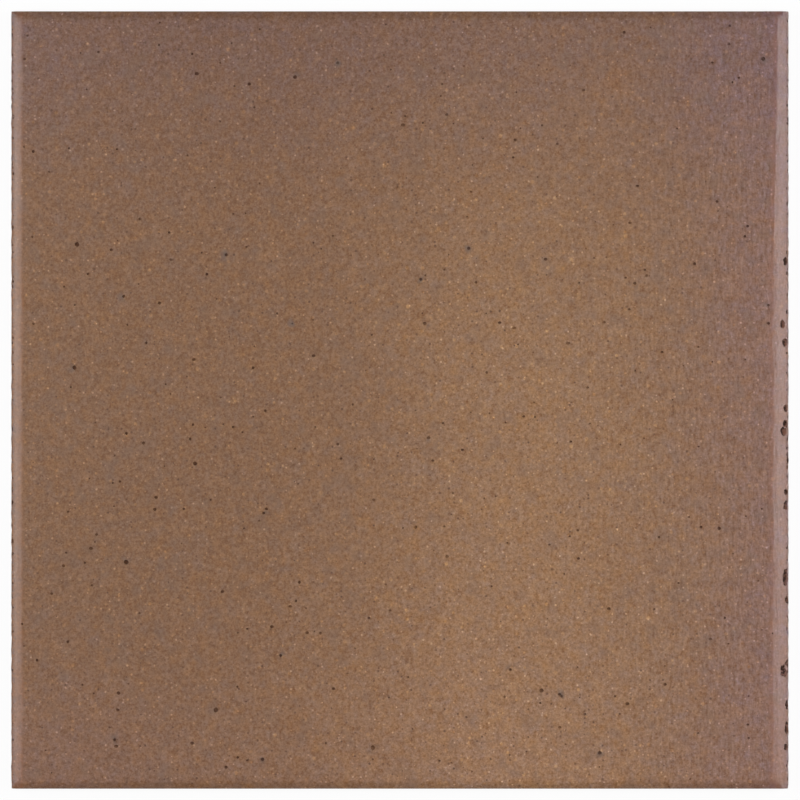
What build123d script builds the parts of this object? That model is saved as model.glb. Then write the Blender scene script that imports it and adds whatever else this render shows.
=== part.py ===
"""Square clinker floor tile, extruded in one piece of stoneware clay and fired.

The clay column runs along Y: its section has a flat face, rolled arrises on the left and right sides and
dovetail grooves in the back. It is cut to length across Y, and the cutter presses a narrower arris on each
cut end. The origin is at the middle of the bedding plane, +Z points to the face and +Y to the far end.
All sizes are in millimetres.
"""

import os
from math import floor, radians, sqrt, tan

from build123d import *

# Overall size of the fired tile
tile_width = 300.0
tile_length = 300.0
tile_thickness = 11.0
corner_chamfer = 0.6

# Rolled arrises along the left and right sides: full width in plan, slope, and the radii of both bends
left_arris_width = 5.8
right_arris_width = 7.8
rolled_slope = 16.0
rolled_shoulder_radius = 14.0
left_rim_radius = 1.2
right_rim_radius = 1.4
heel_radius = 1.0

# Pressed arrises along the two cut ends: their bends start a hair above the face and meet it in a crisp line
far_arris_width = 3.7
near_arris_width = 3.5
pressed_slope = 24.0
pressed_shoulder_radius = 5.0
pressed_rim_radius = 0.8
press_lift = 0.005

# Dovetail grooves along the back, which key into the bed of adhesive
groove_pitch = 20.0
groove_mouth = 9.0
groove_depth = 1.8
groove_undercut = 15.0
groove_root_radius = 0.5
edge_land = 10.0


def arris_corners(width, slope, shoulder_radius):
    """Inset of the shoulder corner and drop of the rim corner, before their bends, for one arris."""
    inset = width - shoulder_radius * tan(radians(slope) / 2)
    return inset, inset * tan(radians(slope))


half_width = tile_width / 2
half_length = tile_length / 2
press_height = tile_thickness + press_lift
left_inset, left_drop = arris_corners(left_arris_width, rolled_slope, rolled_shoulder_radius)
right_inset, right_drop = arris_corners(right_arris_width, rolled_slope, rolled_shoulder_radius)
far_inset, far_drop = arris_corners(far_arris_width, pressed_slope, pressed_shoulder_radius)
near_inset, near_drop = arris_corners(near_arris_width, pressed_slope, pressed_shoulder_radius)

# An even number of grooves leaves a rib on the centre line
groove_count = 2 * floor((half_width - edge_land) / groove_pitch)

with BuildPart() as clinker_tile:
    # Section of the extruded column, seen along Y: heels, rims and shoulders of the two rolled arrises
    with BuildSketch(Plane.XZ):
        with BuildLine():
            FilletPolyline(
                (-half_width, 0),
                (-half_width, tile_thickness - left_drop),
                (-half_width + left_inset, tile_thickness),
                (half_width - right_inset, tile_thickness),
                (half_width, tile_thickness - right_drop),
                (half_width, 0),
                radius=(
                    heel_radius,
                    left_rim_radius,
                    rolled_shoulder_radius,
                    rolled_shoulder_radius,
                    right_rim_radius,
                    heel_radius,
                ),
                close=True,
            )
        make_face()
    extrude(amount=half_length, both=True)

    # Section along the column, seen along X: the cut ends with their pressed arrises, square at the back
    with BuildSketch(Plane.YZ.offset(-tile_width)):
        with BuildLine():
            FilletPolyline(
                (-half_length, 0),
                (-half_length, press_height - near_drop),
                (-half_length + near_inset, press_height),
                (half_length - far_inset, press_height),
                (half_length, press_height - far_drop),
                (half_length, 0),
                radius=(
                    0,
                    pressed_rim_radius,
                    pressed_shoulder_radius,
                    pressed_shoulder_radius,
                    pressed_rim_radius,
                    0,
                ),
                close=True,
            )
        make_face()
    extrude(amount=2 * tile_width, mode=Mode.INTERSECT)

    # The four upright corners are just blunted
    with BuildSketch(Plane.XY):
        with GridLocations(tile_width, tile_length, 2, 2):
            Rectangle(sqrt(2) * corner_chamfer, sqrt(2) * corner_chamfer, rotation=45)
    extrude(amount=tile_thickness, both=True, mode=Mode.SUBTRACT)

    # Dovetail grooves, narrower at the mouth than at the root, running out through both cut ends
    with BuildSketch(Plane.XZ):
        with GridLocations(groove_pitch, 0, groove_count, 1):
            Trapezoid(groove_mouth, groove_depth, 90 + groove_undercut, align=(Align.CENTER, Align.MIN))
        fillet(vertices().group_by(Axis.Y)[-1], groove_root_radius)
    extrude(amount=tile_length, both=True, mode=Mode.SUBTRACT)

clinker_tile.part.label = "clinker_tile"

os.makedirs("parts", exist_ok=True)
export_step(clinker_tile.part, "parts/clinker_tile.step")
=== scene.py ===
"""Square clinker floor tile, seen from straight above under soft light from the left and the right.

Lengths are in metres, in the frame of the solid: the origin is at the middle of the bedding plane, +Z
points out of the face, and +Y runs along the extruded column to the far cut end. The material counts in
millimetres.
"""

import math

import bpy
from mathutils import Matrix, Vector
from mathutils.bvhtree import BVHTree


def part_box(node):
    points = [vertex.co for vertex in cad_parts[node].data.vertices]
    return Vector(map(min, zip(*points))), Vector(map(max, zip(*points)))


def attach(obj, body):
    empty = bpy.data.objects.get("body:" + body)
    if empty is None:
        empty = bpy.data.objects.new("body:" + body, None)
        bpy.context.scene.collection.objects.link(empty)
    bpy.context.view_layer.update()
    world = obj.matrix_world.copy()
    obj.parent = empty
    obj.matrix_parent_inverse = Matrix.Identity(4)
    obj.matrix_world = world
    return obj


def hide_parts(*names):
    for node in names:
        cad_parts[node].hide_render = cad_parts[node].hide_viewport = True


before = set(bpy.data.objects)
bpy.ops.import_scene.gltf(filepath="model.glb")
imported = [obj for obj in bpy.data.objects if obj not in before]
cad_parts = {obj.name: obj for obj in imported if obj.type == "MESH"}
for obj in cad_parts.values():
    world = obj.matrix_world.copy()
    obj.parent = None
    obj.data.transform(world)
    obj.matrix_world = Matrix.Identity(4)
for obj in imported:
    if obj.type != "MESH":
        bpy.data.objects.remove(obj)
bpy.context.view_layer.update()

# Clinker tile: one piece of stoneware clay, extruded along Y through a die, cut to length and fired. The
# die rolls the left and right arrises smooth, the cutter presses those of the cut ends, and dovetail
# grooves run along the back. The rims tear, and iron in the clay melts to dark spots on the face.
mm = 0.001
tile_low, tile_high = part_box("clinker_tile")
solid = BVHTree.FromObject(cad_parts["clinker_tile"], bpy.context.evaluated_depsgraph_get())

# The plain body is a stack of level slices through the solid, fine above the walls and three times coarser
# below, closed by a net of square cells at the face and another at the back. The heights are in mm.
back_cells = 60
fine = 3
face_cells = fine * back_cells
heel_levels = (0, 0.08, 0.29, 0.62, 1.0)
rim_levels = (8.27, 8.56, 8.84, 9.07, 9.25, 9.36, 9.46, 9.55, 9.62, 9.71, 9.81, 9.9, 9.98)
slope_levels = (10.05, 10.1, 10.15, 10.3)
shoulder_levels = (10.46, 10.54, 10.62, 10.69, 10.75, 10.8, 10.85, 10.89, 10.93, 10.96, 10.99)
corner_blunt = 0.1 * mm
hair = 0.001 * mm


def slice_of_solid(height):
    """Left, right, near and far side of the solid at this height."""
    level = min(max(height, tile_low.z + hair), tile_high.z - hair)
    outside = 1.0
    left = solid.ray_cast(Vector((-outside, 0, level)), Vector((1, 0, 0)))[0].x
    right = solid.ray_cast(Vector((outside, 0, level)), Vector((-1, 0, 0)))[0].x
    near = solid.ray_cast(Vector((0, -outside, level)), Vector((0, 1, 0)))[0].y
    far = solid.ray_cast(Vector((0, outside, level)), Vector((0, -1, 0)))[0].y
    return left, right, near, far


def net_point(sides, height, i, j, cells):
    """Point i across and j along of the net that a slice carries, with the four corners blunted."""
    left, right, near, far = sides
    x = left + (right - left) * i / cells
    y = near + (far - near) * j / cells
    if i in (0, cells) and j in (0, cells):
        x += corner_blunt if i == 0 else -corner_blunt
        y += corner_blunt if j == 0 else -corner_blunt
    return x, y, height


def walk_round(cells):
    """The points of a net's rim in order, anticlockwise from the near left corner."""
    walk = [(i, 0) for i in range(cells)]
    walk += [(cells, j) for j in range(cells)]
    walk += [(i, cells) for i in range(cells, 0, -1)]
    walk += [(0, j) for j in range(cells, 0, -1)]
    return walk


body_points = []
body_faces = []


def lay_net(height, cells, upwards):
    """Lays a net of square cells over a slice, and returns its rim."""
    first = len(body_points)
    sides = slice_of_solid(height)
    for j in range(cells + 1):
        body_points.extend(net_point(sides, height, i, j, cells) for i in range(cells + 1))
    for j in range(cells):
        for i in range(cells):
            corner = first + j * (cells + 1) + i
            above = corner + cells + 1
            cell = (corner, corner + 1, above + 1, above)
            body_faces.append(cell if upwards else cell[::-1])
    return [first + j * (cells + 1) + i for i, j in walk_round(cells)]


def lay_ring(height, cells):
    """Lays one ring of points round a slice."""
    first = len(body_points)
    sides = slice_of_solid(height)
    body_points.extend(net_point(sides, height, i, j, cells) for i, j in walk_round(cells))
    return list(range(first, len(body_points)))


def close_between(lower, upper):
    """Closes the band between two rings, of which the upper may have several points to one below."""
    step = len(upper) // len(lower)
    for k in range(len(lower)):
        top_edge = [upper[(step * k + part) % len(upper)] for part in range(step, -1, -1)]
        body_faces.append((lower[k], lower[(k + 1) % len(lower)], *top_edge))


ring = lay_net(tile_low.z, back_cells, upwards=False)
for level in heel_levels[1:]:
    ring_above = lay_ring(level * mm, back_cells)
    close_between(ring, ring_above)
    ring = ring_above
for level in rim_levels + slope_levels + shoulder_levels:
    ring_above = lay_ring(level * mm, face_cells)
    close_between(ring, ring_above)
    ring = ring_above
close_between(ring, lay_net(tile_high.z, face_cells, upwards=True))


def loose_mesh(name, points, faces=()):
    """An object of these points and faces, as they are."""
    mesh = bpy.data.meshes.new(name)
    mesh.from_pydata(points, [], faces)
    made = bpy.data.objects.new(name, mesh)
    bpy.context.scene.collection.objects.link(made)
    return made


tile = loose_mesh("clinker_tile_fired", body_points, body_faces)

# Core of one dovetail groove: a bar with rounded root edges, longer than the tile, cut out of the back
groove_mouth = 9.0 * mm
groove_depth = 1.8 * mm
groove_undercut = math.radians(15)
root_radius = 0.5 * mm
root_steps = 4
core_spill = 0.5 * mm
core_half_length = tile_high.y + core_spill
root_half = groove_mouth / 2 + groove_depth * math.tan(groove_undercut)
root_bend = root_radius / math.tan((math.pi / 2 - groove_undercut) / 2)
half_core = [(groove_mouth / 2 - core_spill * math.tan(groove_undercut), -core_spill)]
for k in range(root_steps + 1):
    turn = -groove_undercut + (math.pi / 2 + groove_undercut) * k / root_steps
    half_core.append((
        root_half - root_bend + root_radius * math.cos(turn),
        groove_depth - root_radius + root_radius * math.sin(turn),
    ))
core_outline = half_core + [(-x, z) for x, z in reversed(half_core)]
core_count = len(core_outline)
core_points = [(x, end, z) for end in (-core_half_length, core_half_length) for x, z in core_outline]
core_faces = [tuple(range(core_count)), tuple(range(2 * core_count - 1, core_count - 1, -1))]
for k in range(core_count):
    after = (k + 1) % core_count
    core_faces.append((after, k, k + core_count, after + core_count))
groove_core = loose_mesh("groove_core", core_points, core_faces)


def marks(name, places, sizes):
    """Loose points with a size each, for the tree to set a mark on."""
    made = loose_mesh(name, places)
    size = made.data.attributes.new("size", "FLOAT_VECTOR", "POINT")
    size.data.foreach_set("vector", [length for lengths in sizes for length in lengths])
    return made


# Tears along the right rim, as they lie: inset from the rim, place along Y, half width, half length, in mm
right_tears = (
    (1.35, 53.5, 0.8, 1.5),
    (2.4, 29.2, 0.85, 1.7),
    (1.6, 22.2, 1.1, 1.5),
    (1.15, -3.1, 0.9, 1.6),
    (2.0, -12.0, 1.35, 1.8),
    (1.2, -9.3, 0.9, 1.7),
    (0.5, -23.0, 0.5, 1.7),
    (1.0, -35.5, 0.8, 1.1),
    (1.1, -40.5, 1.0, 2.0),
    (1.3, -68.5, 1.2, 3.3),
    (0.7, -77.0, 0.8, 1.4),
    (1.8, -104.5, 1.8, 2.6),
    (0.9, -102.5, 0.8, 1.8),
    (0.6, -117.5, 0.7, 1.9),
    (0.7, -126.5, 0.9, 2.5),
    (1.1, -134.0, 0.9, 1.3),
)
tear_depth = 0.9
tear_places = []
tear_sizes = []
for inset, along, half_width, half_length in right_tears:
    above = Vector((tile_high.x - inset * mm, along * mm, 1.0))
    tear_places.append(solid.ray_cast(above, Vector((0, 0, -1)))[0])
    tear_sizes.append((half_width * mm, half_length * mm, tear_depth * mm))
rim_tears = marks("rim_tears", tear_places, tear_sizes)

# Iron spots, the boldest as they lie: place across and along the face, and width, all in mm
bold_spot_list = (
    (-124.5, 60, 1.75),
    (-125.5, 12.5, 1.55),
    (-79, -24.5, 1.55),
    (-40.5, 124.5, 1.45),
    (-24, 130, 1.2),
    (-24, -17, 1.2),
    (-105.5, -62.5, 1.8),
    (-71, -119.5, 1.8),
    (-53, -138.5, 1.4),
    (-10.5, -134, 1.7),
    (9.5, 29.5, 1.3),
    (11, -14.5, 1.3),
    (6, -49, 1.3),
    (54.5, -112, 1.7),
    (61.5, -113.5, 1.1),
    (42.5, -104, 1.2),
    (77, -136, 1.5),
    (90.5, 45, 1.2),
    (113.5, 52.5, 1.3),
    (123, -49.5, 1.4),
    (140, 131.5, 1.6),
    (-106.5, 40, 1.2),
    (-41.5, 29.5, 0.7),
    (-67, 56, 1.2),
    (18, 110, 1.1),
    (8, 46.5, 1.2),
    (-108.5, -113, 1.4),
    (-110, -131, 1.2),
    (-46, -98.5, 1.2),
    (-51.5, -42, 1.2),
    (26.5, 58.5, 1.2),
    (134, 67, 1.1),
    (142, 29.5, 1.2),
    (142, 36.5, 1.1),
)
spot_dish = 0.95
spot_lift = 0.1
spot_places = []
spot_sizes = []
for across, along, width in bold_spot_list:
    radius = width / 2 * mm
    spot_places.append((across * mm, along * mm, tile_high.z + spot_lift * spot_dish * radius))
    spot_sizes.append((radius, radius, spot_dish * radius))
bold_spots = marks("bold_spots", spot_places, spot_sizes)


def put(tree, kind, wires=None, out=0, **settings):
    """Adds a node with its settings, wires its inputs by name or number, and returns one output or all."""
    made = tree.nodes.new(kind)
    for name, value in settings.items():
        setattr(made, name, value)
    for socket, value in (wires or {}).items():
        for one in value if isinstance(value, list) else [value]:
            if isinstance(one, bpy.types.NodeSocket):
                tree.links.new(one, made.inputs[socket])
            else:
                made.inputs[socket].default_value = one
    return made.outputs if out is None else made.outputs[out]


# The tree wears the plain body: swell and drag of the clay, grooves, tears, nicks and spots in one mesh
wear = bpy.data.node_groups.new("fired_tile", "GeometryNodeTree")
wear.interface.new_socket("Tile", in_out="OUTPUT", socket_type="NodeSocketGeometry")
wear_values = {}


def given(name, kind, value=None):
    """A named input of the tree, and the value that this tile gives it."""
    wear_values[wear.interface.new_socket(name, in_out="INPUT", socket_type=kind)] = value


clinker = bpy.data.materials.new("fired_clinker")
given("Body", "NodeSocketGeometry")
given("Swell Height", "NodeSocketFloat", 0.12 * mm)
given("Swell Length", "NodeSocketFloat", 55 * mm)
given("Drag Height", "NodeSocketFloat", 0.10 * mm)
given("Drag Width", "NodeSocketFloat", 4.5 * mm)
given("Rim Waver", "NodeSocketFloat", 0.3 * mm)
given("Rim Waver Length", "NodeSocketFloat", 3.5 * mm)
given("Left Arris Lift", "NodeSocketFloat", 0.06 * mm)
given("Right Arris Lift", "NodeSocketFloat", 0.1 * mm)
given("Arris Lift Length", "NodeSocketFloat", 16 * mm)
given("Face Height", "NodeSocketFloat", tile_high.z)
given("Left Rim", "NodeSocketFloat", tile_low.x)
given("Right Rim", "NodeSocketFloat", tile_high.x)
given("Half Length", "NodeSocketFloat", tile_high.y)
given("Groove Core", "NodeSocketObject", groove_core)
given("Groove Count", "NodeSocketInt", 14)
given("Groove Pitch", "NodeSocketFloat", 20 * mm)
given("Rim Tears", "NodeSocketObject", rim_tears)
given("Tear Roughness", "NodeSocketFloat", 1.3 * mm)
given("Nick Count", "NodeSocketInt", 130)
given("Nick Radius", "NodeSocketFloat", 0.55 * mm)
given("Nick Inset", "NodeSocketFloat", 0.45 * mm)
given("Left Nick Height", "NodeSocketFloat", 9.9 * mm)
given("Right Nick Height", "NodeSocketFloat", 9.3 * mm)
given("Bold Spots", "NodeSocketObject", bold_spots)
given("Small Spots Per Square Metre", "NodeSocketFloat", 4000.0)
given("Small Spot Radius", "NodeSocketFloat", 0.64 * mm)
given("Spot Dish", "NodeSocketFloat", spot_dish)
given("Spot Lift", "NodeSocketFloat", spot_lift)
given("Seed", "NodeSocketInt", 7)
given("Clinker", "NodeSocketMaterial", clinker)

entry = put(wear, "NodeGroupInput", out=None)
place = put(wear, "GeometryNodeInputPosition")
normal = put(wear, "GeometryNodeInputNormal")
across, along, up = put(wear, "ShaderNodeSeparateXYZ", {0: place}, None)


def reckon(tree, operation, first, second=0.0, third=0.0):
    """One sum on numbers."""
    return put(tree, "ShaderNodeMath", {0: first, 1: second, 2: third}, operation=operation)


def reckon_each(tree, operation, first, second=(0, 0, 0), third=(0, 0, 0)):
    """One sum on the three parts of a vector."""
    return put(tree, "ShaderNodeVectorMath", {0: first, 1: second, 2: third}, operation=operation)


def scaled(tree, vector, factor):
    """A vector times a number."""
    return put(tree, "ShaderNodeVectorMath", {0: vector, "Scale": factor}, operation="SCALE")


def joined(tree, x=0.0, y=0.0, z=0.0):
    """A vector of three numbers."""
    return put(tree, "ShaderNodeCombineXYZ", {0: x, 1: y, 2: z})


def rise(tree, value, low, high):
    """0 below low, 1 above high, and smooth between them."""
    wires = {"Value": value, "From Min": low, "From Max": high}
    return put(tree, "ShaderNodeMapRange", wires, interpolation_type="SMOOTHSTEP")


def between(low, high, draw):
    """A random number for each point, between low and high."""
    seed = reckon(wear, "ADD", entry["Seed"], draw)
    return put(wear, "FunctionNodeRandomValue", {2: low, 3: high, "Seed": seed}, 1, data_type="FLOAT")


def tagged(geometry, name):
    """The faces of a cutter carry a name, which the faces that it leaves in the tile keep."""
    wires = {"Geometry": geometry, "Name": name, "Value": 1.0}
    return put(wear, "GeometryNodeStoreNamedAttribute", wires, domain="FACE", data_type="FLOAT")


# Swell of the whole face and streaks that the die drags along its right half
drag_stretch = (1.0, 0.28, 1.0)
drag_start = -20 * mm
face_fade = 1.5 * mm
noise_middle = 0.5


def noise_at(place_of_noise, detail, out=0):
    """Noise between 0 and 1 at a place that is counted in lumps."""
    wires = {"Vector": place_of_noise, "Scale": 1.0, "Detail": detail}
    return put(wear, "ShaderNodeTexNoise", wires, out)


swell = noise_at(scaled(wear, place, reckon(wear, "DIVIDE", 1.0, entry["Swell Length"])), 1.0)
drag_place = scaled(wear, place, reckon(wear, "DIVIDE", 1.0, entry["Drag Width"]))
drag = noise_at(reckon_each(wear, "MULTIPLY", drag_place, drag_stretch), 0.0)
drag_side = rise(wear, across, drag_start, entry["Right Rim"])
swell_height = reckon(wear, "SUBTRACT", swell, noise_middle)
swell_height = reckon(wear, "MULTIPLY", swell_height, entry["Swell Height"])
drag_height = reckon(wear, "SUBTRACT", drag, noise_middle)
drag_height = reckon(wear, "MULTIPLY", drag_height, entry["Drag Height"])
drag_height = reckon(wear, "MULTIPLY", drag_height, drag_side)
relief = reckon(wear, "ADD", swell_height, drag_height)
on_face = rise(wear, up, reckon(wear, "SUBTRACT", entry["Face Height"], face_fade), entry["Face Height"])
relief_offset = scaled(wear, normal, reckon(wear, "MULTIPLY", relief, on_face))

# The rims waver, and the rolled arrises lie a little higher in places, most at the far end of the right
# side, so that the line where each one meets the face wavers too
waver_low, waver_high, waver_middle = 0.25, 0.75, 0.45
wall_top, rim_foot = 7.5 * mm, 8.2 * mm
arris_reach = 9 * mm
rim_reach = 3 * mm
far_start = 30 * mm
far_share = 3.2
even_share = 0.2
left_share = 2.0

which_side = reckon(wear, "SIGN", across)
aside = reckon(wear, "ABSOLUTE", across)
above_wall = rise(wear, up, wall_top, rim_foot)
waver_place = joined(wear, which_side, reckon(wear, "DIVIDE", along, entry["Rim Waver Length"]))
waver = rise(wear, noise_at(waver_place, 2.0), waver_low, waver_high)
waver = reckon(wear, "MULTIPLY", reckon(wear, "SUBTRACT", waver, waver_middle), entry["Rim Waver"])
rim_start = reckon(wear, "SUBTRACT", entry["Right Rim"], rim_reach)
at_rim = reckon(wear, "MULTIPLY", above_wall, rise(wear, aside, rim_start, entry["Right Rim"]))
inwards = reckon(wear, "MULTIPLY", which_side, -1.0)
waver = reckon(wear, "MULTIPLY", reckon(wear, "MULTIPLY", waver, at_rim), inwards)

lift_place = joined(wear, which_side, reckon(wear, "DIVIDE", along, entry["Arris Lift Length"]))
lift_noise = noise_at(lift_place, 2.0)
far_rise = rise(wear, along, far_start, entry["Half Length"])
far_rise = reckon(wear, "MULTIPLY_ADD", far_rise, far_share, even_share)
right_lift = reckon(wear, "MULTIPLY", reckon(wear, "ADD", far_rise, lift_noise), entry["Right Arris Lift"])
left_lift = reckon(wear, "MULTIPLY", lift_noise, left_share)
left_lift = reckon(wear, "MULTIPLY", left_lift, entry["Left Arris Lift"])
on_right = reckon(wear, "GREATER_THAN", across, 0.0)
arris_lift = put(wear, "ShaderNodeMix", {0: on_right, 2: left_lift, 3: right_lift}, data_type="FLOAT")
arris_start = reckon(wear, "SUBTRACT", entry["Right Rim"], arris_reach)
in_arris = reckon(wear, "MULTIPLY", above_wall, reckon(wear, "GREATER_THAN", aside, arris_start))
arris_lift = reckon(wear, "MULTIPLY", arris_lift, in_arris)
room_above = reckon(wear, "MAXIMUM", reckon(wear, "SUBTRACT", entry["Face Height"], up), 0.0)
arris_shift = joined(wear, waver, 0.0, reckon(wear, "MINIMUM", arris_lift, room_above))
body = put(wear, "GeometryNodeSetPosition", {"Geometry": entry["Body"], "Offset": arris_shift})
swollen = put(wear, "GeometryNodeSetPosition", {"Geometry": body, "Offset": relief_offset})

# Dovetail grooves, an even number of them with a rib on the centre line
groove_steps = reckon(wear, "SUBTRACT", entry["Groove Count"], 1)
groove_span = reckon(wear, "MULTIPLY", groove_steps, entry["Groove Pitch"])
groove_line = put(
    wear,
    "GeometryNodeMeshLine",
    {
        "Count": entry["Groove Count"],
        "Start Location": joined(wear, reckon(wear, "MULTIPLY", groove_span, -0.5)),
        "Offset": joined(wear, entry["Groove Pitch"]),
    },
)
core = tagged(put(wear, "GeometryNodeObjectInfo", {"Object": entry["Groove Core"]}, "Geometry"), "groove")
grooves = put(wear, "GeometryNodeInstanceOnPoints", {"Points": groove_line, "Instance": core})
grooves = put(wear, "GeometryNodeRealizeInstances", {0: grooves})

# Torn lumps: each is a ball that the noise of the clay roughens
tear_grain = 1.2 * mm
own_size = put(wear, "GeometryNodeInputNamedAttribute", {"Name": "size"}, data_type="FLOAT_VECTOR")
ball = put(wear, "GeometryNodeMeshIcoSphere", {"Radius": 1.0, "Subdivisions": 3})
small_ball = put(wear, "GeometryNodeMeshIcoSphere", {"Radius": 1.0, "Subdivisions": 2})


def roughened(geometry, roughness, grain):
    """Loose clay: the surface of a lump moved about by noise of this grain."""
    lump = noise_at(scaled(wear, place, 1 / grain), 1.0, out=1)
    middle = (noise_middle, noise_middle, noise_middle)
    shift = scaled(wear, reckon_each(wear, "SUBTRACT", lump, middle), roughness)
    return put(wear, "GeometryNodeSetPosition", {"Geometry": geometry, "Offset": shift})


tear_points = put(wear, "GeometryNodeObjectInfo", {"Object": entry["Rim Tears"]}, "Geometry")
tear_points = put(wear, "GeometryNodeSetPosition", {"Geometry": tear_points, "Offset": arris_shift})
tears = put(
    wear,
    "GeometryNodeInstanceOnPoints",
    {"Points": tear_points, "Instance": tagged(ball, "torn"), "Scale": own_size},
)
tears = put(wear, "GeometryNodeRealizeInstances", {0: tears})
tears = roughened(tears, entry["Tear Roughness"], tear_grain)

# Nicks along both rims, most of them small
nick_reach = 0.98
nick_drop = 0.3 * mm
nick_shake = 1.6 * mm
nick_power = 2.0
least_nick = 0.25
nick_stretch = (0.7, 2.2)


def nicks_along(rim, height, draw):
    """Small nicks along one rim, at even steps that are then shaken along it and over its bend."""
    end = reckon(wear, "MULTIPLY", entry["Half Length"], nick_reach)
    line = put(
        wear,
        "GeometryNodeMeshLine",
        {
            "Count": entry["Nick Count"],
            "Start Location": joined(wear, rim, reckon(wear, "MULTIPLY", end, -1.0), height),
            "Offset": joined(wear, rim, end, height),
        },
        mode="END_POINTS",
    )
    drop = between(-nick_drop, nick_drop, draw + 1)
    outwards = reckon(wear, "MULTIPLY", reckon(wear, "SIGN", rim), drop)
    shake = between(-nick_shake, nick_shake, draw)
    shaken = joined(wear, outwards, shake, reckon(wear, "MULTIPLY", drop, -1.0))
    line = put(wear, "GeometryNodeSetPosition", {"Geometry": line, "Offset": shaken})
    line = put(wear, "GeometryNodeSetPosition", {"Geometry": line, "Offset": arris_shift})
    share = reckon(wear, "POWER", between(0.0, 1.0, draw + 2), nick_power)
    share = reckon(wear, "MULTIPLY_ADD", share, 1 - least_nick, least_nick)
    radius = reckon(wear, "MULTIPLY", share, entry["Nick Radius"])
    length = reckon(wear, "MULTIPLY", radius, between(*nick_stretch, draw + 3))
    size = joined(wear, radius, length, radius)
    wires = {"Points": line, "Instance": tagged(small_ball, "torn"), "Scale": size}
    return put(wear, "GeometryNodeRealizeInstances", {0: put(wear, "GeometryNodeInstanceOnPoints", wires)})


left_draw = 10
right_draw = 20
left_nick_line = reckon(wear, "ADD", entry["Left Rim"], entry["Nick Inset"])
right_nick_line = reckon(wear, "SUBTRACT", entry["Right Rim"], entry["Nick Inset"])
nicks = [
    nicks_along(left_nick_line, entry["Left Nick Height"], left_draw),
    nicks_along(right_nick_line, entry["Right Nick Height"], right_draw),
]

# Iron spots: small dishes, the bold ones where they lie and small ones strewn over the face
bold_roughness = 0.35 * mm
bold_grain = 0.8 * mm
spot_room = 2.2 * mm
flat_enough = 0.995
high_enough = 0.97
small_power = 1.7
least_small = 0.5
small_stretch = (0.8, 1.35)
small_draw = 31
stretch_draw = 32

bold_points = put(wear, "GeometryNodeObjectInfo", {"Object": entry["Bold Spots"]}, "Geometry")
bold = put(
    wear,
    "GeometryNodeInstanceOnPoints",
    {"Points": bold_points, "Instance": tagged(ball, "iron"), "Scale": own_size},
)
bold = roughened(put(wear, "GeometryNodeRealizeInstances", {0: bold}), bold_roughness, bold_grain)

faces_up = reckon(wear, "GREATER_THAN", put(wear, "ShaderNodeSeparateXYZ", {0: normal}, 2), flat_enough)
high_up = reckon(wear, "GREATER_THAN", up, reckon(wear, "MULTIPLY", entry["Face Height"], high_enough))
strewn = put(
    wear,
    "GeometryNodeDistributePointsOnFaces",
    {
        "Mesh": entry["Body"],
        "Selection": reckon(wear, "MULTIPLY", faces_up, high_up),
        "Distance Min": spot_room,
        "Density Max": entry["Small Spots Per Square Metre"],
        "Seed": entry["Seed"],
    },
    distribute_method="POISSON",
)
small_share = reckon(wear, "POWER", between(0.0, 1.0, small_draw), small_power)
small_share = reckon(wear, "MULTIPLY_ADD", small_share, 1 - least_small, least_small)
small_radius = reckon(wear, "MULTIPLY", small_share, entry["Small Spot Radius"])
small_height = reckon(wear, "MULTIPLY", small_radius, entry["Spot Dish"])
lift = joined(wear, z=reckon(wear, "MULTIPLY", small_height, entry["Spot Lift"]))
wide = reckon(wear, "MULTIPLY", small_radius, between(*small_stretch, stretch_draw))
strewn = put(
    wear,
    "GeometryNodeInstanceOnPoints",
    {
        "Points": strewn,
        "Instance": tagged(small_ball, "iron"),
        "Scale": joined(wear, wide, small_radius, small_height),
    },
)
strewn = put(wear, "GeometryNodeTranslateInstances", {"Instances": strewn, "Translation": lift})
strewn = put(wear, "GeometryNodeRealizeInstances", {0: strewn})

# All of it is cut from the body, and a hollow that a nick leaves wholly inside the clay is closed again
least_faces = 1000
cut = put(
    wear,
    "GeometryNodeMeshBoolean",
    {"Mesh 1": swollen, "Mesh 2": [grooves, tears, *nicks, bold, strewn]},
    operation="DIFFERENCE",
    solver="MANIFOLD",
)
shell = put(wear, "GeometryNodeInputMeshIsland", out="Island Index")
shell_faces = put(
    wear,
    "GeometryNodeAccumulateField",
    {"Value": 1.0, "Group ID": shell},
    "Total",
    data_type="FLOAT",
    domain="FACE",
)
hollow = reckon(wear, "LESS_THAN", shell_faces, least_faces)
cut = put(wear, "GeometryNodeDeleteGeometry", {"Geometry": cut, "Selection": hollow}, domain="FACE")

# What lies near a bold spot takes up some of its iron
halo_reach = 3.2 * mm
near_spot = put(wear, "GeometryNodeProximity", {0: bold_points}, "Distance", target_element="POINTS")
halo = reckon(wear, "SUBTRACT", 1.0, rise(wear, near_spot, 0.0, halo_reach))
cut = put(
    wear,
    "GeometryNodeStoreNamedAttribute",
    {"Geometry": cut, "Name": "halo", "Value": halo},
    domain="POINT",
    data_type="FLOAT",
)
cut = put(wear, "GeometryNodeRealizeInstances", {0: cut})
cut = put(wear, "GeometryNodeSetMaterial", {"Geometry": cut, "Material": entry["Clinker"]})
put(wear, "NodeGroupOutput", {0: cut}, None)

sharp_angle = math.radians(27)
worn = tile.modifiers.new("fired_tile", "NODES")
worn.node_group = wear
for socket, value in wear_values.items():
    if value is not None:
        worn[socket.identifier] = value
evaluated = bpy.context.evaluated_depsgraph_get()
tile_mesh = bpy.data.meshes.new_from_object(tile.evaluated_get(evaluated), depsgraph=evaluated)
tile.modifiers.remove(worn)
tile.data = tile_mesh
tile_mesh.polygons.foreach_set("use_smooth", [True] * len(tile_mesh.polygons))
tile_mesh.set_sharp_from_angle(angle=sharp_angle)
for helper in (groove_core, rim_tears, bold_spots):
    bpy.data.objects.remove(helper)

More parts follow.
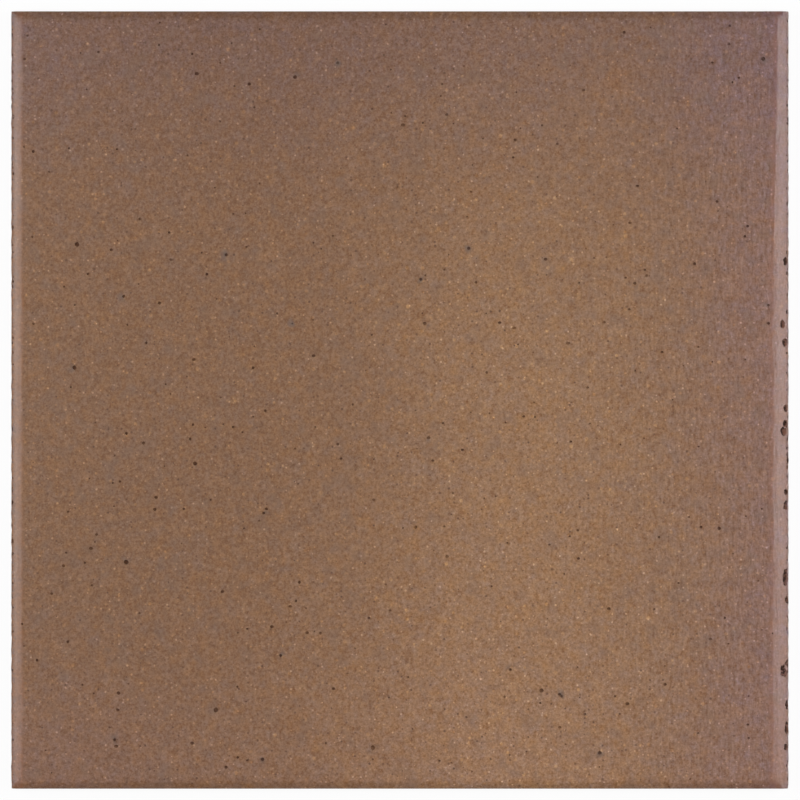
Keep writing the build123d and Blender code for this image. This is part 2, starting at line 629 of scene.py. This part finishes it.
# Fired clay, in millimetres: brown, with an ochre tongue where the kiln gas passed and violet flanks
clinker.use_nodes = True
fired = clinker.node_tree
fired_shader = fired.nodes["Principled BSDF"]
spot_place = scaled(fired, put(fired, "ShaderNodeTexCoord", out="Object"), 1 / mm)
spot_normal = put(fired, "ShaderNodeNewGeometry", out="Normal")
spot_x, spot_y, spot_z = put(fired, "ShaderNodeSeparateXYZ", {0: spot_place}, None)
normal_x, normal_y, normal_z = put(fired, "ShaderNodeSeparateXYZ", {0: spot_normal}, None)
turn_axis = (0.5, 0.6, 0.6)


def times(first, second):
    """The product of two numbers."""
    return reckon(fired, "MULTIPLY", first, second)


def added(amount, share, base):
    """A number plus a share of another."""
    return reckon(fired, "MULTIPLY_ADD", amount, share, base)


def fall(value, low, high):
    """1 below low, 0 above high, and smooth between them."""
    return reckon(fired, "SUBTRACT", 1.0, rise(fired, value, low, high))


def cloud(size, start, detail=0.0, stretch=(1, 1, 1), out=0):
    """Noise about zero, with lumps of this size in mm, stretched along the axes, moved by the start."""
    squeeze = tuple(1 / (size * part) for part in stretch)
    spread = reckon_each(fired, "MULTIPLY_ADD", spot_place, squeeze, (start, start, start))
    turned = put(fired, "ShaderNodeVectorRotate", {"Vector": spread, "Axis": turn_axis, "Angle": start})
    noise = put(fired, "ShaderNodeTexNoise", {"Vector": turned, "Scale": 1.0, "Detail": detail}, out)
    if out == 0:
        return reckon(fired, "SUBTRACT", noise, noise_middle)
    return reckon_each(fired, "SUBTRACT", noise, (noise_middle, noise_middle, noise_middle))


# One sheet of flecks that runs on over the rims and down the walls, slanted so that no wall shows stripes
sheet_slant = (0.6, 0.8)
sheet_x = added(spot_z, sheet_slant[0], spot_x)
sheet_y = added(spot_z, sheet_slant[1], spot_y)
sheet_place = joined(fired, sheet_x, sheet_y)
fleck_power = 2.5
least_fleck = 0.25
least_radius = 0.5
fleck_heart = 0.4


def flecks(size, start, radius, share):
    """Round flecks, one to a cell of this size in mm: a share of them shows, each of its own radius."""
    squeeze = (1 / size, 1 / size, 1 / size)
    spread = reckon_each(fired, "MULTIPLY_ADD", sheet_place, squeeze, (start, start, start))
    wires = {"Vector": spread, "Scale": 1.0}
    cells = put(fired, "ShaderNodeTexVoronoi", wires, None, voronoi_dimensions="2D")
    chance, own, strength = put(fired, "ShaderNodeSeparateColor", {0: cells["Color"]}, None)
    strength = added(reckon(fired, "POWER", strength, fleck_power), 1 - least_fleck, least_fleck)
    own_radius = added(own, radius / size, least_radius * radius / size)
    mark = fall(cells["Distance"], times(own_radius, fleck_heart), own_radius)
    shown = reckon(fired, "LESS_THAN", chance, share)
    return times(times(mark, shown), strength)


def tinted(colour, amount, shift):
    """A colour times one plus a small shift of red, green and blue."""
    change = reckon_each(fired, "MULTIPLY_ADD", shift, joined(fired, amount, amount, amount), (1, 1, 1))
    return reckon_each(fired, "MULTIPLY", colour, change)


def stained(colour, amount, stain):
    """A colour that turns into another by the amount."""
    stain = (*stain, 1.0) if isinstance(stain, tuple) else stain
    return put(fired, "ShaderNodeMix", {0: amount, 6: colour, 7: stain}, 2, data_type="RGBA")


# Zones of the firing: middle, reach across and along in mm, and shift of red, green and blue
ground_colour = (0.202, 0.098, 0.046)
wander_reach = 30.0
deep = 1e6
firing_zones = (
    ((52, -150, 0), (70, 270, deep), (0.077, 0.047, 0.0245)),
    ((48, 20, 0), (40, 75, deep), (0.014, 0.009, 0.004)),
    ((5, -140, 0), (80, 95, deep), (0.020, 0.011, 0.006)),
    ((0, -165, 0), (deep, 60, deep), (0.008, 0.005, 0.009)),
    ((0, 150, 0), (deep, 51, deep), (-0.032, -0.013, 0.009)),
    ((156, 10, 0), (39, deep, deep), (0.006, 0.006, 0.032)),
    ((81, 118, 0), (7, 8, deep), (0.012, -0.002, -0.012)),
    ((-150, -150, 0), (60, 32, deep), (0.004, 0.003, 0.010)),
    ((-150, 150, 0), (45, 40, deep), (0.008, 0.006, 0.008)),
)
wander = scaled(fired, cloud(45, 3.1, 1.0, out=1), wander_reach)
zone_place = reckon_each(fired, "ADD", spot_place, wander)
fired_colour = ground_colour
for middle, reach, shift in firing_zones:
    squeeze = tuple(1 / length for length in reach)
    start = tuple(-part / length for part, length in zip(middle, reach))
    away = reckon_each(fired, "MULTIPLY_ADD", zone_place, squeeze, start)
    square = put(fired, "ShaderNodeVectorMath", {0: away, 1: away}, "Value", operation="DOT_PRODUCT")
    weight = reckon(fired, "POWER", 1 / math.e, square)
    weight = joined(fired, weight, weight, weight)
    fired_colour = reckon_each(fired, "MULTIPLY_ADD", weight, shift, fired_colour)

# Rolled arrises are smoother, paler and redder than the face, up to a line that wavers, in mm from the side
line_stretch = (9, 1, 1)
line_reach = 2.6
left_line = (4.1, 5.1)
right_line = (6.2, 8.4)
narrow_along = (40.0, 130.0)
narrow_by = 1.2
rolled_shift = (0.09, 0.0, -0.03)
from_left = reckon(fired, "SUBTRACT", spot_x, tile_low.x / mm)
from_right = reckon(fired, "SUBTRACT", tile_high.x / mm, spot_x)
from_near = reckon(fired, "SUBTRACT", spot_y, tile_low.y / mm)
from_far = reckon(fired, "SUBTRACT", tile_high.y / mm, spot_y)
line_waver = times(cloud(14.0, 3.7, 2.0, line_stretch), line_reach)
right_narrow = added(rise(fired, spot_y, *narrow_along), narrow_by, line_waver)
left_band = rise(fired, reckon(fired, "ADD", from_left, line_waver), *left_line)
right_band = rise(fired, reckon(fired, "ADD", from_right, right_narrow), *right_line)
open_face = times(left_band, right_band)
rolled = reckon(fired, "SUBTRACT", 1.0, open_face)
fired_colour = tinted(fired_colour, rolled, rolled_shift)

# Painted shade on the pressed arrises of the cut ends, which mirror no lamp and catch less light: a little
# darker
far_shade_line = (2.2, 4.2)
far_shade_shift = (-0.06, -0.05, -0.10)
near_shade_line = (0.8, 3.2)
near_shade_shift = (-0.13, -0.11, -0.10)
fired_colour = tinted(fired_colour, fall(from_far, *far_shade_line), far_shade_shift)
fired_colour = tinted(fired_colour, fall(from_near, *near_shade_line), near_shade_shift)

# The outermost rims: a painted highlight as a pale lip on the right, and dark rub marks on both
lip_highlight_line = (0.2, 1.1)
lip_highlight_height = (8.6, 9.4)
lip_highlight_share = 0.8
lip_highlight_colour = (0.34, 0.25, 0.23)
left_rub_line = (0.6, 2.1)
right_rub_line = (0.7, 1.8)
right_rub_share = 0.5
rub_edge = (-0.05, 0.17)
rub_share = 0.45
rub_colour = (0.115, 0.090, 0.090)
# Painted highlight: a pale stain high on the right rim, standing in for the light it catches from low to
# the side
right_lip_highlight = times(fall(from_right, *lip_highlight_line), rise(fired, spot_z, *lip_highlight_height))
fired_colour = stained(fired_colour, times(right_lip_highlight, lip_highlight_share), lip_highlight_colour)
left_rim = fall(from_left, *left_rub_line)
right_rim = times(fall(from_right, *right_rub_line), right_rub_share)
rubbed = reckon(fired, "MAXIMUM", left_rim, right_rim)
rub_marks = times(rise(fired, cloud(0.9, 19.0), *rub_edge), rubbed)
fired_colour = stained(fired_colour, times(rub_marks, rub_share), rub_colour)

# Grain of the clay, from sand to lumps, which the die drags into streaks on the right half of the face
drag_across = (20.0, 130.0)
arris_grain = 0.55
left_round = 0.94
right_loss = -0.11
streak_stretch = (1, 3.4, 1)
fine_weight = 0.80
mid_weight = 0.78
clump_weight = 0.25
streak_weight = 0.70
grain_shift = (0.74, 1.10, 1.66)
soft_shift = (0.19, 0.22, 0.27)
drag_share = rise(fired, spot_x, *drag_across)
grain_share = added(open_face, 1 - arris_grain, arris_grain)
round_share = times(added(drag_share, right_loss, left_round), grain_share)
streak_share = times(drag_share, grain_share)
fine_grain = cloud(0.55, 11.0)
mid_grain = cloud(1.1, 23.0)
clump_grain = cloud(1.8, 31.0)
soft_grain = cloud(3.2, 37.0)
streaks = times(cloud(1.2, 149.0, 1.0, streak_stretch), streak_share)
grain = times(fine_grain, fine_weight)
grain = added(mid_grain, mid_weight, grain)
grain = added(clump_grain, clump_weight, grain)
grain = added(streaks, streak_weight, times(grain, round_share))
fired_colour = tinted(fired_colour, grain, grain_shift)
fired_colour = tinted(fired_colour, times(soft_grain, grain_share), soft_shift)

# Drift between ochre and violet: size of its lumps in mm, start, and shift of red, green and blue
warm_drifts = (
    (11.0, 47.0, (0.04, 0.0, -0.13)),
    (4.5, 51.0, (0.13, 0.0, -0.40)),
    (2.4, 59.0, (0.10, 0.0, -0.32)),
    (1.3, 67.0, (0.10, 0.0, -0.20)),
)
for size, start, shift in warm_drifts:
    fired_colour = tinted(fired_colour, cloud(size, start), shift)
blotch_edge = (0.10, 0.28)
blotch_share = 0.25
blotch_colour = (0.165, 0.102, 0.074)
blotch = times(rise(fired, cloud(7.0, 79.0), *blotch_edge), blotch_share)
fired_colour = stained(fired_colour, blotch, blotch_colour)

# Grog in the clay: cream flecks and orange lumps, and painted shade of pin holes where a grain fell out,
# dark dots with no hole in the mesh
cream_shift = (0.85, 1.10, 1.40)
orange_shift = (0.54, 0.56, 0.32)
hole_shade_colour = (0.080, 0.028, 0.010)
left_hole_shade = 0.85
right_hole_shade_loss = -0.10
cream_flecks = times(flecks(1.7, 5.0, 0.42, 0.22), grain_share)
fired_colour = tinted(fired_colour, cream_flecks, cream_shift)
orange_lumps = times(flecks(3.0, 17.0, 0.70, 0.24), grain_share)
fired_colour = tinted(fired_colour, orange_lumps, orange_shift)
hole_shade_share = added(drag_share, right_hole_shade_loss, left_hole_shade)
# Pin holes are painted shade only: dark dots where the mesh has no hole
pin_hole_shade = times(times(flecks(1.8, 29.0, 0.44, 0.24), grain_share), hole_shade_share)
fired_colour = stained(fired_colour, pin_hole_shade, hole_shade_colour)

# Iron spots, some nearly black and some faint, a few of them in a grey halo
halo_edge = (-0.02, 0.2)
halo_share = 0.8
halo_colour = (0.115, 0.082, 0.070)
iron_edge = (-0.18, 0.14)
faint_iron = 0.42
iron_gain = 0.32
iron_colour = (0.050, 0.012, 0.002)
halo_near = put(fired, "ShaderNodeAttribute", out="Fac", attribute_name="halo")
halo_near = times(halo_near, rise(fired, cloud(3.0, 91.0), *halo_edge))
fired_colour = stained(fired_colour, times(halo_near, halo_share), halo_colour)
iron = put(fired, "ShaderNodeAttribute", out="Fac", attribute_name="iron")
iron_depth = added(rise(fired, cloud(3.0, 157.0), *iron_edge), iron_gain, faint_iron)
fired_colour = stained(fired_colour, times(iron, iron_depth), iron_colour)

# Walls and back never saw the kiln gas: duller clay with drag lines along the column, or down the cut ends
wall_edge = (0.05, 0.4)
end_facing = 0.6
column_squeeze = (1 / 0.7, 1 / 18.0, 1 / 0.7)
end_squeeze = (1 / 0.9, 1 / 0.9, 1 / 8.0)
line_shift = (0.45, 0.5, 0.55)
raw_edge = (-0.2, 0.3)
raw_clay = (0.19, 0.105, 0.062)
raw_share = 0.8
side = fall(normal_z, *wall_edge)
is_cut_end = reckon(fired, "GREATER_THAN", reckon(fired, "ABSOLUTE", normal_y), end_facing)
line_wires = {0: is_cut_end, 4: column_squeeze, 5: end_squeeze}
line_squeeze = put(fired, "ShaderNodeMix", line_wires, 1, data_type="VECTOR")
line_place = reckon_each(fired, "MULTIPLY", spot_place, line_squeeze)
lines = put(fired, "ShaderNodeTexNoise", {"Vector": line_place, "Scale": 1.0, "Detail": 1.0})
lines = reckon(fired, "SUBTRACT", lines, noise_middle)
raw_colour = tinted(fired_colour, lines, line_shift)
raw_colour = stained(raw_colour, rise(fired, cloud(6.0, 127.0), *raw_edge), raw_clay)
fired_colour = stained(fired_colour, times(side, raw_share), raw_colour)

# Torn clay carries painted shade: dark where its walls face out of the tile, as a chip's wall in shadow,
# and as pale as the rest on its floor
torn_shade_edge = (-0.05, 0.22)
torn_shade_floor = 0.12
torn_shade_gain = 0.82
torn_shade_colour = (0.034, 0.013, 0.007)
torn = put(fired, "ShaderNodeAttribute", out="Fac", attribute_name="torn")
outward = times(normal_x, reckon(fired, "SIGN", spot_x))
# Painted shade of the chip walls, chosen by which way the torn surface faces
torn_painted_shade = rise(fired, reckon(fired, "ADD", outward, cloud(0.8, 131.0)), *torn_shade_edge)
torn_painted_shade = added(torn_painted_shade, torn_shade_gain, torn_shade_floor)
fired_colour = stained(fired_colour, times(torn_painted_shade, torn), torn_shade_colour)
fired.links.new(fired_colour, fired_shader.inputs["Base Color"])

# Roughness: the rolled arrises are the smoothest, and torn clay, iron, walls and rims are duller
roughness = 0.39
for surface, gain in (
    (open_face, 0.06),
    (cloud(5.0, 139.0), 0.10),
    (iron, 0.5),
    (side, 0.2),
    (torn, 0.5),
    (rubbed, 0.08),
    (mid_grain, 0.12),
):
    roughness = added(surface, gain, roughness)
fired.links.new(roughness, fired_shader.inputs["Roughness"])

# Height of the grain in mm: sandy on the face, streaked along the column on its right half
mid_height = 0.11
soft_height = 0.08
streak_height = 0.25
line_height = 0.12
height = added(soft_grain, soft_height, times(mid_grain, mid_height))
height = added(streaks, streak_height, times(height, round_share))
height = times(added(times(lines, side), line_height, height), mm)
grain_normal = put(fired, "ShaderNodeBump", {"Strength": 1.0, "Distance": 1.0, "Height": height})
fired.links.new(grain_normal, fired_shader.inputs["Normal"])

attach(tile, "root")
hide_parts("clinker_tile")

# Studio: a pale floor that reads white, a white room that is dimmer overhead, and two long strip lights to
# the left and the right, which the rolled arrises mirror into the camera straight above.
scene = bpy.context.scene
scene.view_settings.view_transform = "Standard"
white = (1, 1, 1, 1)
paper_colour = (0.9, 0.9, 0.9, 1)
floor_half = 40.0
floor = loose_mesh(
    "studio_floor",
    [(x * floor_half, y * floor_half, tile_low.z) for x, y in ((-1, -1), (1, -1), (1, 1), (-1, 1))],
    [(0, 1, 2, 3)],
)
paper = bpy.data.materials.new("studio_paper")
paper.use_nodes = True
paper_tree = paper.node_tree
paper_shader = paper_tree.nodes["Principled BSDF"]
paper_shader.inputs["Base Color"].default_value = paper_colour
paper_shader.inputs["Roughness"].default_value = 1.0
paper_shader.inputs["Specular IOR Level"].default_value = 0.0
white_share = 0.94
ray = put(paper_tree, "ShaderNodeLightPath", out=None)
seen = reckon(paper_tree, "MAXIMUM", ray["Is Camera Ray"], ray["Is Glossy Ray"])
seen = reckon(paper_tree, "MAXIMUM", seen, ray["Is Transmission Ray"])
glow = put(paper_tree, "ShaderNodeEmission", {"Color": white, "Strength": 1.0})
paper_mix = put(
    paper_tree,
    "ShaderNodeMixShader",
    {0: reckon(paper_tree, "MULTIPLY", seen, white_share), 1: paper_shader.outputs[0], 2: glow},
)
paper_tree.links.new(paper_mix, paper_tree.nodes["Material Output"].inputs["Surface"])
floor.data.materials.append(paper)

room = bpy.data.worlds.new("studio_room")
room.use_nodes = True
room_tree = room.node_tree
room_light = room_tree.nodes["Background"]
room_up = put(room_tree, "ShaderNodeTexCoord", out="Generated")
room_up = put(room_tree, "ShaderNodeSeparateXYZ", {0: room_up}, 2)
wall_foot = 0.10
wall_head = 0.35
ceiling = 0.10
room_level = put(
    room_tree,
    "ShaderNodeMapRange",
    {"Value": room_up, "From Min": wall_foot, "From Max": wall_head, "To Min": 1.0, "To Max": ceiling},
    interpolation_type="SMOOTHSTEP",
)
room_tree.links.new(room_level, room_light.inputs["Strength"])
room_light.inputs["Color"].default_value = white
scene.world = room

strip_length = 0.7
strip_width = 0.5
strip_aside = 0.82
strip_along = 0.08
strip_height = 0.9
strip_power = 8.3
for side_name, side_sign in (("left", -1), ("right", 1)):
    strip = bpy.data.lights.new("strip_" + side_name, "AREA")
    strip.shape = "RECTANGLE"
    strip.size = strip_width
    strip.size_y = strip_length
    strip.energy = strip_power
    strip_lamp = bpy.data.objects.new("strip_" + side_name, strip)
    strip_lamp.location = (side_sign * strip_aside, strip_along, strip_height)
    strip_lamp.rotation_euler = (0, side_sign * math.atan2(strip_aside, strip_height), 0)
    scene.collection.objects.link(strip_lamp)

panel_size = 1.2
panel_height = 2.3
panel_power = 4.0
panel = bpy.data.lights.new("panel_overhead", "AREA")
panel.size = panel_size
panel.energy = panel_power
panel_lamp = bpy.data.objects.new("panel_overhead", panel)
panel_lamp.location = (0, 0, panel_height)
scene.collection.objects.link(panel_lamp)

# Camera straight above: the frame is 800 px wide and the 300 mm tile fills 777 of them at the rims
image_width_px = 800
tile_width_px = 777.2
frame_width = (tile_high.x - tile_low.x) * image_width_px / tile_width_px
rim_height = 8.8 * mm
lens_length = 200
sensor_width = 36
lens = bpy.data.cameras.new("camera")
lens.lens = lens_length
lens.sensor_width = sensor_width
camera = bpy.data.objects.new("camera", lens)
camera.location = (0, 0, rim_height + frame_width * lens_length / sensor_width)
scene.collection.objects.link(camera)
scene.camera = camera
